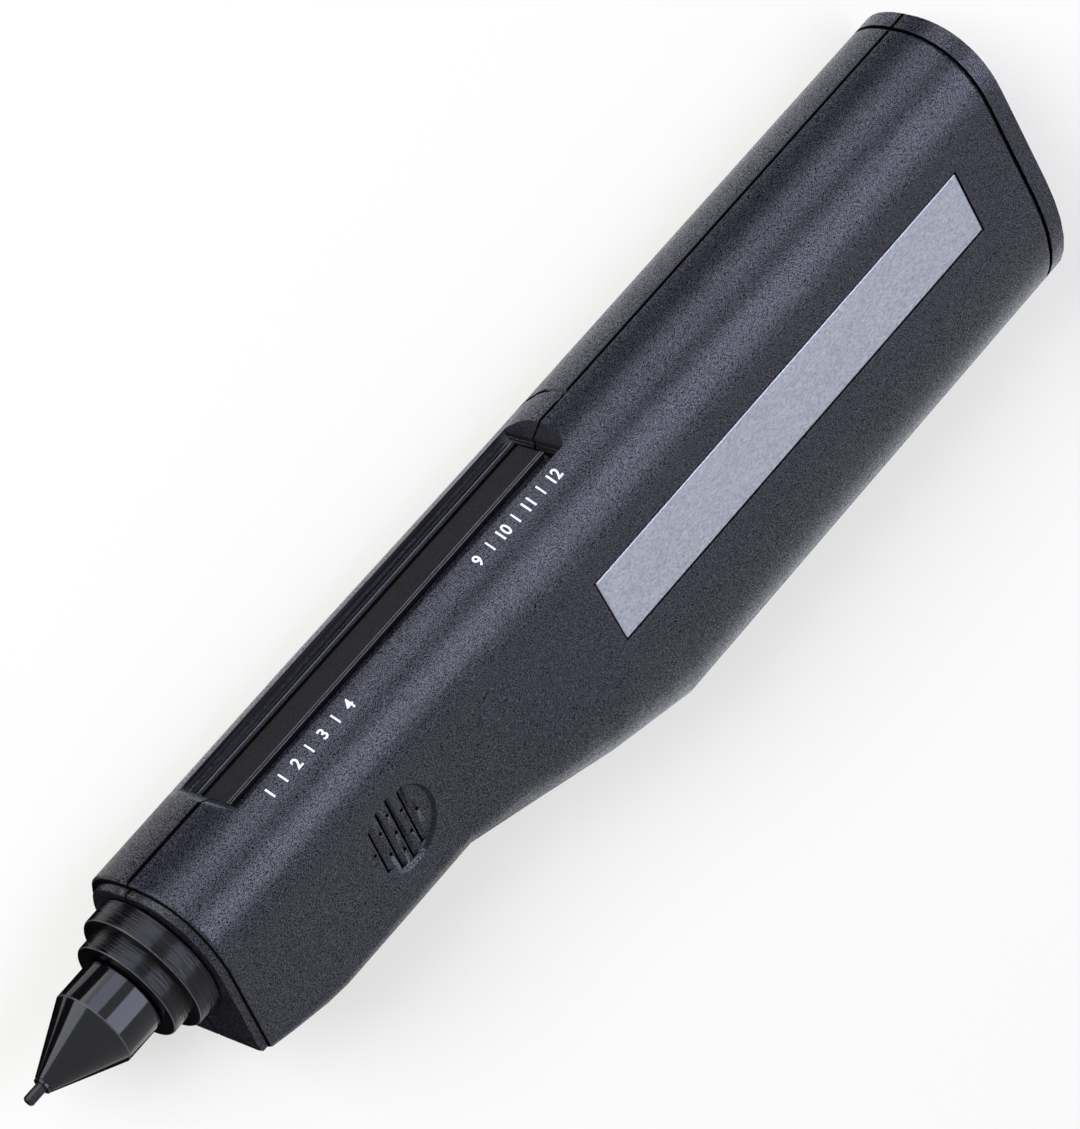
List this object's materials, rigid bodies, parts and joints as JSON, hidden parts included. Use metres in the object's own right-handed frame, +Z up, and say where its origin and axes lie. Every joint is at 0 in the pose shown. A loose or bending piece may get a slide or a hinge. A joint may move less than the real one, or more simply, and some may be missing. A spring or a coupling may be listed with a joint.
{
  "type": "diamond tester",
  "caption": "Hand-held probe tester: split moulded housing with a lamp window, louvred sounder grille, spring-loaded probe in a turned nose, slide switch and sliding battery door.",
  "frame": {"origin": "centre of the bounding box on the surface that the tester lies on, its right flank", "axes": "+X along the body towards the probe, -Y out through the lamp window, +Z up out of the left flank with the nameplate"},
  "size_m": [0.19, 0.047, 0.024],
  "materials": {
    "charcoal_abs": "satin, fine moulded grain",
    "brushed_aluminium": "brushed",
    "smoked_acrylic": "smoked, polished",
    "satin_black": "turned, satin",
    "gloss_black": "polished",
    "probe_rod": "dark ground metal",
    "ceramic_heater": "matt",
    "turned_brass": "turned",
    "zinc_steel": "zinc plated",
    "green_board": "solder mask",
    "lamp_resin": "clear moulded",
    "black_plastic": "moulded",
    "blue_plastic": "moulded",
    "dark_fibre": "matt",
    "knob_plastic": "moulded",
    "battery_can": "plain metal can",
    "grey_foam": "foam",
    "red_sleeve": "wire sleeve",
    "black_sleeve": "wire sleeve",
    "white_sleeve": "wire sleeve"
  },
  "bodies": {
    "housing": {"left_shell": "charcoal_abs", "right_shell": "charcoal_abs", "nameplate": "brushed_aluminium", "window_lens": "smoked_acrylic", "probe_collar": "satin_black", "nose_cone": "gloss_black", "probe_spring": "zinc_steel", "spring_plug": "turned_brass", "circuit_board": "green_board", "led_1": "lamp_resin", "led_2": "lamp_resin", "led_3": "lamp_resin", "led_4": "lamp_resin", "led_5": "lamp_resin", "led_6": "lamp_resin", "led_7": "lamp_resin", "led_8": "lamp_resin", "led_9": "lamp_resin", "led_10": "lamp_resin", "led_11": "lamp_resin", "led_12": "lamp_resin", "led_holder": "black_plastic", "sound_buzzer": "black_plastic", "controller_chip": "black_plastic", "power_capacitor": "blue_plastic", "trim_pot": "blue_plastic", "switch_body": "dark_fibre", "battery": "battery_can", "battery_snap": "dark_fibre", "battery_pad": "grey_foam", "snap_lead_red": "red_sleeve", "snap_lead_black": "black_sleeve", "probe_lead_1": "white_sleeve", "probe_lead_2": "white_sleeve", "case_screw_1": "zinc_steel", "case_screw_2": "zinc_steel", "case_screw_3": "zinc_steel", "case_screw_4": "zinc_steel"},
    "probe": {"probe_tip": "probe_rod", "probe_heater": "ceramic_heater", "probe_plunger": "turned_brass"},
    "door": {"battery_door": "charcoal_abs"},
    "knob": {"switch_knob": "knob_plastic"}
  },
  "joints": [
    {"name": "probe_press", "type": "slide", "parent": "housing", "child": "probe", "axis": [-1, 0, 0], "range_m": [0, 0.0015], "stiffness_N_per_m": 300, "springref_m": -0.002, "deforming": ["probe_spring"]},
    {"name": "door_slide", "type": "slide", "parent": "housing", "child": "door", "axis": [-1, 0, 0], "range_m": [0, 0.08]},
    {"name": "switch_slide", "type": "slide", "parent": "housing", "child": "knob", "axis": [-1, 0, 0], "range_m": [0, 0.003]}
  ]
}
